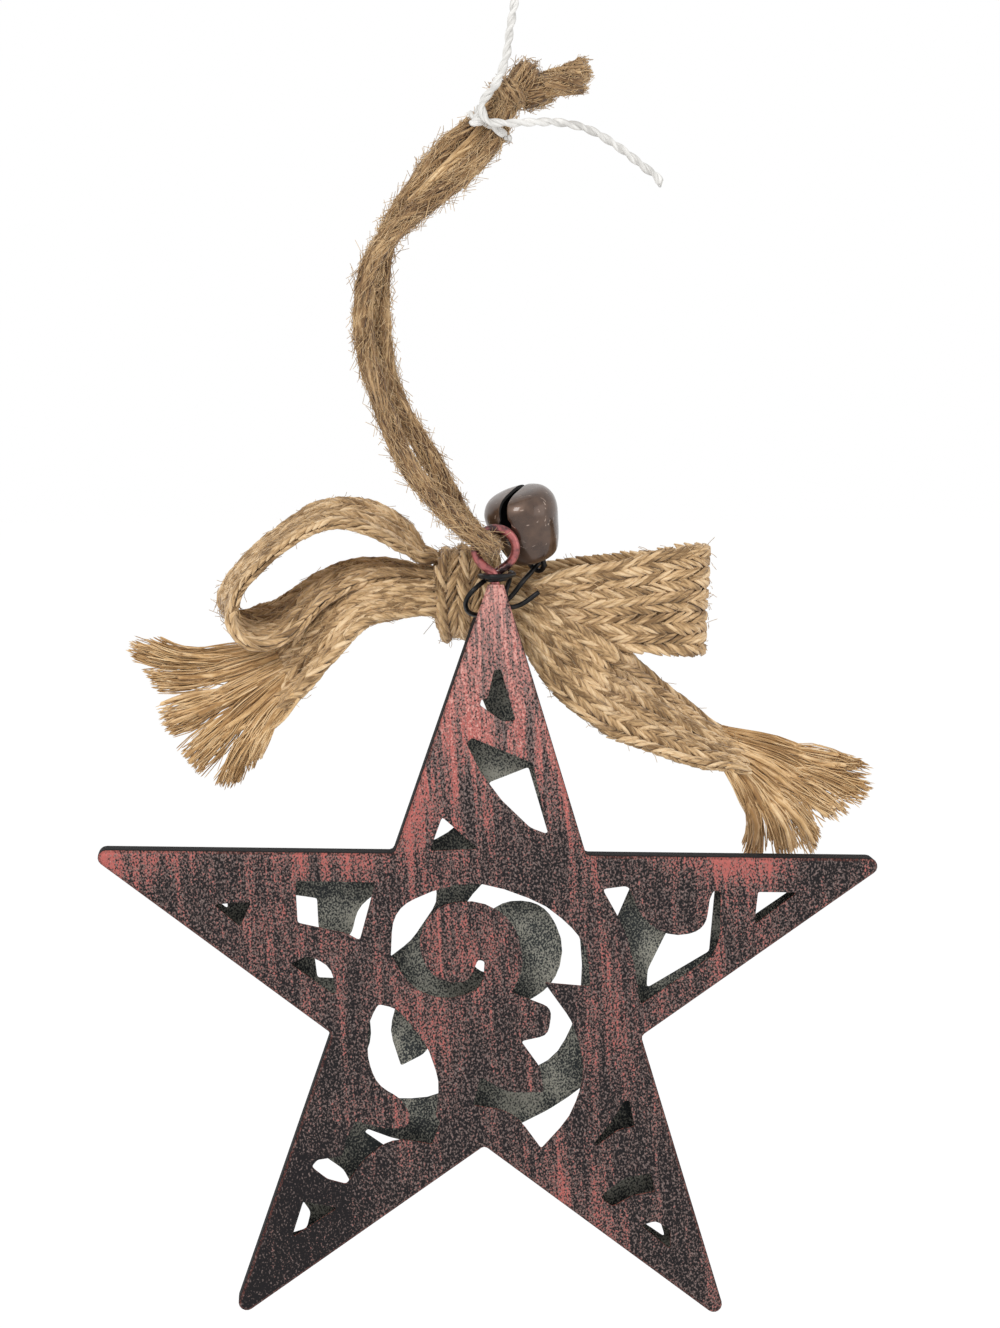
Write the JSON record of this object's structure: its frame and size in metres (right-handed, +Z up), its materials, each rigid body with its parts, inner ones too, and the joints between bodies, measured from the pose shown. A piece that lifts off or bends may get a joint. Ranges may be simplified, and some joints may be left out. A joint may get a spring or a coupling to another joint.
{
  "type": "hanging star ornament",
  "caption": "Pierced hollow metal star hung by its wire eye from doubled twine and thread, with a jute bow and a small slotted bell.",
  "frame": {"origin": "inside top of the thread's loop, the point that rests on a hook", "axes": "+Z up when hung, -Y towards the star's front face, +X to the right as seen from the front"},
  "size_m": [0.1271, 0.0287, 0.2265],
  "materials": {
    "front_paint": "matte black paint dry-brushed with speckled copper red",
    "back_paint": "matte mottled grey-green paint with metallic speckle",
    "copper_wire": "satin copper paint worn over black",
    "black_wire": "semi-gloss black iron wire",
    "bell_bronze": "glossy dark bronze",
    "pellet_steel": "plain bright steel",
    "jute": "natural tan jute, braided flat",
    "twine": "brown hairy jute twine",
    "cotton": "white twisted cotton thread"
  },
  "bodies": {
    "hanger": {"hanger_cord": "twine", "hanger_knot": "twine", "thread_line": "cotton", "thread_tie": "cotton", "thread_tail": "cotton", "thread_loop": "cotton"},
    "star": {"front_plate": "front_paint", "back_plate": "back_paint", "hanging_eye": "copper_wire", "tie_wire": "black_wire", "bow_knot": "jute", "bow_loop_left": "jute", "bow_tail_left": "jute", "bow_loop_right": "jute", "bow_tail_right": "jute", "fray_left": "jute", "fray_right": "jute"},
    "bell": {"bell_shell": "bell_bronze", "bell_staple": "black_wire"},
    "pellet": {"bell_pellet": "pellet_steel"}
  },
  "joints": [
    {"name": "star_swing", "type": "hinge", "parent": "hanger", "child": "star", "pos_m": [-0.0048, 0, -0.0984], "axis": [0, 1, 0], "range_deg": [-12, 12]},
    {"name": "bell_tip", "type": "hinge", "parent": "star", "child": "bell", "pos_m": [0.0038, 0.008, -0.1022], "axis": [0, 1, 0], "range_deg": [0, 15]},
    {"name": "pellet_rattle", "type": "slide", "parent": "bell", "child": "pellet", "axis": [-0.2995, -0.2196, 0.9285], "range_m": [0, 0.006]}
  ]
}
